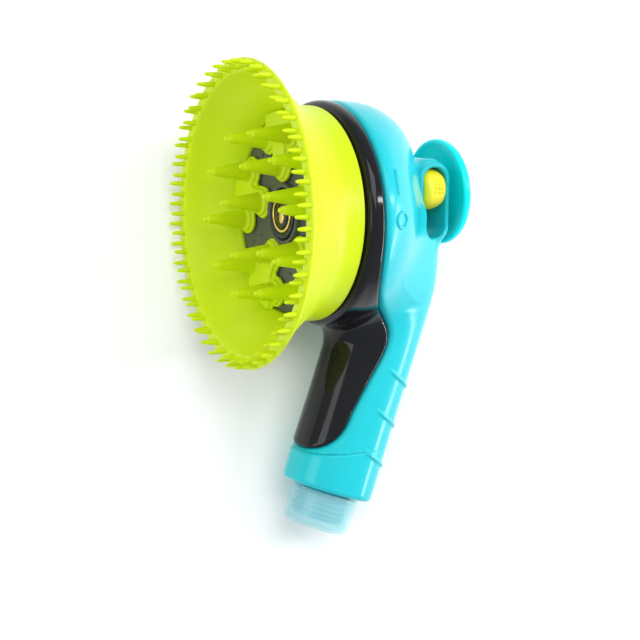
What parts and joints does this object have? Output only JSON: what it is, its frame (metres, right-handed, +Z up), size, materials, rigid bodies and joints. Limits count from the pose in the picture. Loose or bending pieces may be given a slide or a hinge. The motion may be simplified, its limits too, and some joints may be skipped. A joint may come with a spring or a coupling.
{
  "type": "pet bath sprayer",
  "caption": "Handheld pet bath sprayer: flared silicone splash shield with massage cones and rim bristles, round head, slide switch, finger disc, tilted handle with a capped hose inlet",
  "frame": {"origin": "centre of the bounding box's bottom face: the table it lies on, with the shield's rim, the side of the head and the end of the handle on that table", "axes": "+Z up from the table; +Y along the sprayer from the hose inlet to the top of the head; -X roughly the spray direction, out of the shield"},
  "size_m": [0.1068, 0.1694, 0.0991],
  "materials": {
    "lime_silicone": "soft satin silicone, slightly translucent at thin edges",
    "cyan_gloss": "glossy moulded ABS",
    "black_gloss": "high-gloss black ABS",
    "yellow_switch": "satin yellow with fine grip dimples",
    "grey_faceplate": "fine matte dark grey",
    "white_moulding": "plain moulded acetal, inside only",
    "seal_rubber": "black sealing rubber",
    "frosted_cap": "frosted translucent polyethylene",
    "steel_hardware": "stainless steel",
    "gold_ring": "polished gold-coloured metal"
  },
  "bodies": {
    "sprayer": {"front_bezel": "black_gloss", "rear_housing": "cyan_gloss", "spray_chamber": "white_moulding", "faceplate_gasket": "seal_rubber", "spray_faceplate": "grey_faceplate", "faceplate_screw": "steel_hardware", "emblem_badge": "black_gloss", "badge_ring": "gold_ring", "chamber_screw_1": "steel_hardware", "chamber_screw_2": "steel_hardware", "chamber_screw_3": "steel_hardware", "chamber_screw_4": "steel_hardware", "spout_seal": "seal_rubber", "valve_body": "white_moulding", "valve_plug": "white_moulding", "valve_gasket": "seal_rubber", "grip_disc": "cyan_gloss", "disc_screw": "steel_hardware", "water_tube": "white_moulding", "inlet_stub": "cyan_gloss", "inlet_gasket": "seal_rubber", "filter_screen": "steel_hardware"},
    "slider": {"slider_knob": "yellow_switch", "slider_arm": "steel_hardware", "valve_spool": "white_moulding", "spool_seal": "seal_rubber"},
    "shield": {"splash_shield": "lime_silicone"},
    "cap": {"thread_cap": "frosted_cap"}
  },
  "joints": [
    {"name": "switch_slide", "type": "slide", "parent": "sprayer", "child": "slider", "axis": [0, -0.9741, -0.2261], "range_m": [0, 0.0096]},
    {"name": "shield_slide", "type": "slide", "parent": "sprayer", "child": "shield", "axis": [-0.9563, -0.0661, 0.2848], "range_m": [0, 0.03]},
    {"name": "cap_slide", "type": "slide", "parent": "sprayer", "child": "cap", "axis": [-0.3113, -0.9426, -0.121], "range_m": [0, 0.0115]}
  ]
}
